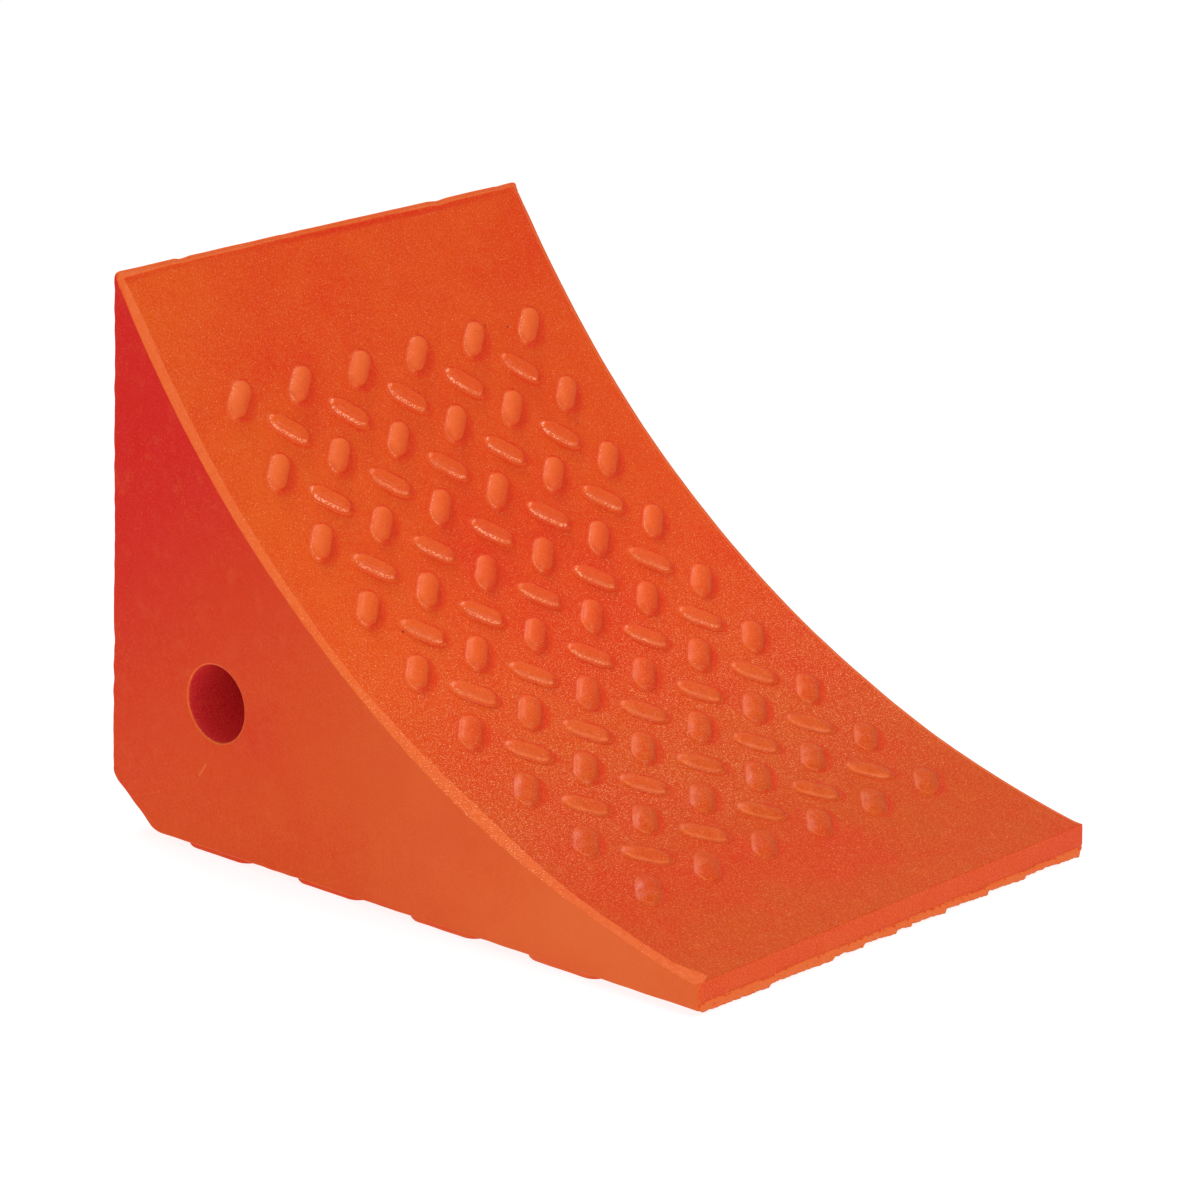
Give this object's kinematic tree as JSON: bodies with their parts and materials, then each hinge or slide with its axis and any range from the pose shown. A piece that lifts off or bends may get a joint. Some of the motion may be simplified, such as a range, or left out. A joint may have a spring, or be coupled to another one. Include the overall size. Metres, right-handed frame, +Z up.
{
  "type": "wheel chock",
  "caption": "Solid cast wedge that blocks a tyre: concave face with diamond-set grip lugs, cross hole for a rope, treaded base and chamfered back.",
  "frame": {"origin": "on the ground, under the middle of the chock's bounding box", "axes": "+X from the upright back to the thin toe, +Y across the width, +Z up"},
  "size_m": [0.269, 0.2, 0.1972],
  "materials": {
    "cast_urethane": "semi-gloss orange cast urethane, slightly translucent, with fine dust and scuffs",
    "lug_urethane": "the same urethane, polished by use on the lugs' crests",
    "tread_urethane": "the same urethane, matt and scuffed where it meets the ground",
    "trimmed_urethane": "the same urethane, pale and rough where it was cut"
  },
  "bodies": {
    "root": {"chock_body": "cast_urethane", "toe_lip": "trimmed_urethane", "rising_lug_row_1": "lug_urethane", "rising_lug_row_2": "lug_urethane", "rising_lug_row_3": "lug_urethane", "rising_lug_row_4": "lug_urethane", "rising_lug_row_5": "lug_urethane", "rising_lug_row_6": "lug_urethane", "rising_lug_row_7": "lug_urethane", "rising_lug_row_8": "lug_urethane", "rising_lug_row_9": "lug_urethane", "falling_lug_row_1": "lug_urethane", "falling_lug_row_2": "lug_urethane", "falling_lug_row_3": "lug_urethane", "falling_lug_row_4": "lug_urethane", "falling_lug_row_5": "lug_urethane", "falling_lug_row_6": "lug_urethane", "falling_lug_row_7": "lug_urethane", "falling_lug_row_8": "lug_urethane", "base_pad_row_1": "tread_urethane", "base_pad_row_2": "tread_urethane", "base_pad_row_3": "tread_urethane", "base_pad_row_4": "tread_urethane", "base_pad_row_5": "tread_urethane", "base_pad_row_6": "tread_urethane", "base_pad_row_7": "tread_urethane"}
  },
  "joints": []
}
